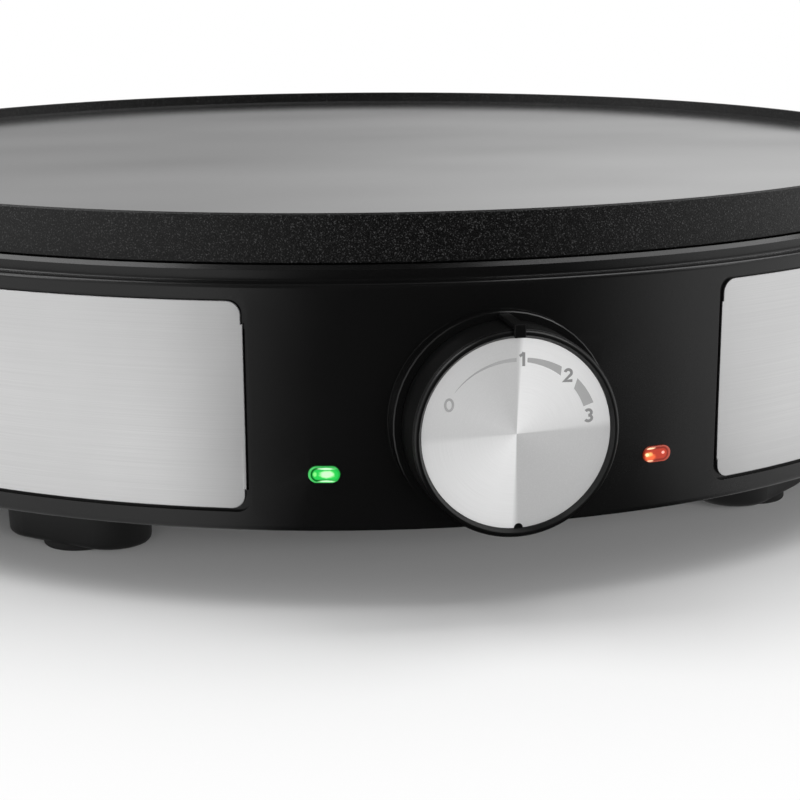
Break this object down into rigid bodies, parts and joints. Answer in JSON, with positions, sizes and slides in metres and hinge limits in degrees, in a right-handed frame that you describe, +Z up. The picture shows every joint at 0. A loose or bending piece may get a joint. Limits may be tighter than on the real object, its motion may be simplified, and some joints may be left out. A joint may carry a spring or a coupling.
{
  "type": "electric crepe maker",
  "caption": "Electric crepe maker: a round cast griddle plate on a black housing with brushed steel side panels, a turning thermostat dial, pilot lamps and feet.",
  "frame": {"origin": "centre of the footprint's bounding box, on the surface that the rubber feet stand on", "axes": "+Z up, -Y towards the dial, +X to the right as seen from the front"},
  "size_m": [0.392, 0.4222, 0.104],
  "materials": {
    "plate_coating": "cast body with a dark grainy non-stick coating",
    "element_sheath": "dull heat-tinted sheath",
    "terminal_brass": "bare",
    "plated_steel": "zinc plated",
    "galvanised_sheet": "pressed sheet, satin",
    "black_moulding": "moulded heat-resistant plastic, satin",
    "pad_rubber": "moulded, dull",
    "brushed_panel": "brushed along the band",
    "spun_dial": "turned, with printed numerals and wedge",
    "spindle_brass": "turned",
    "thermostat_case": "pressed ceramic look",
    "copper_tube": "drawn",
    "green_lens": "clear coloured",
    "red_lens": "clear coloured",
    "lamp_glass": "clear",
    "white_moulding": "moulded",
    "fuse_case": "drawn case",
    "brown_sleeve": "insulation",
    "black_sleeve": "insulation",
    "blue_sleeve": "insulation",
    "earth_sleeve": "green and yellow insulation",
    "red_sleeve": "insulation"
  },
  "bodies": {
    "base": {"griddle_plate": "plate_coating", "heating_element": "element_sheath", "element_terminals": "terminal_brass", "element_clamps": "plated_steel", "clamp_screws": "plated_steel", "heat_shield": "galvanised_sheet", "plate_bolts": "plated_steel", "shield_screws": "plated_steel", "housing": "black_moulding", "base_cover": "black_moulding", "base_screws": "plated_steel", "foot_pad_front_left": "pad_rubber", "foot_pad_front_right": "pad_rubber", "foot_pad_rear_left": "pad_rubber", "foot_pad_rear_right": "pad_rubber", "left_panel": "brushed_panel", "right_panel": "brushed_panel", "dial_pointer": "black_moulding", "thermostat_body": "thermostat_case", "thermostat_bracket": "plated_steel", "thermostat_screws": "plated_steel", "thermostat_terminals": "terminal_brass", "capillary_tube": "copper_tube", "sensor_bulb": "copper_tube", "bulb_clip": "plated_steel", "green_lens": "green_lens", "red_lens": "red_lens", "green_lamp": "lamp_glass", "red_lamp": "lamp_glass", "green_lamp_holder": "white_moulding", "red_lamp_holder": "white_moulding", "terminal_block": "white_moulding", "terminal_screws": "terminal_brass", "fuse_holder": "plated_steel", "thermal_fuse": "fuse_case", "earth_tag": "terminal_brass", "tag_screws": "plated_steel", "live_wire": "brown_sleeve", "switched_wire": "black_sleeve", "fuse_wire": "black_sleeve", "neutral_wire": "blue_sleeve", "earth_wire": "earth_sleeve", "lamp_wires": "red_sleeve", "cable_gland": "black_moulding", "cord_clamp": "black_moulding", "cord_clamp_screws": "plated_steel"},
    "dial": {"knob_body": "black_moulding", "knob_face": "spun_dial", "knob_clip": "plated_steel", "thermostat_spindle": "spindle_brass"}
  },
  "joints": [
    {"name": "dial_turn", "type": "hinge", "parent": "base", "child": "dial", "pos_m": [0, -0.20095, 0.0506], "axis": [0, -1, 0], "range_deg": [-64, 79]}
  ]
}
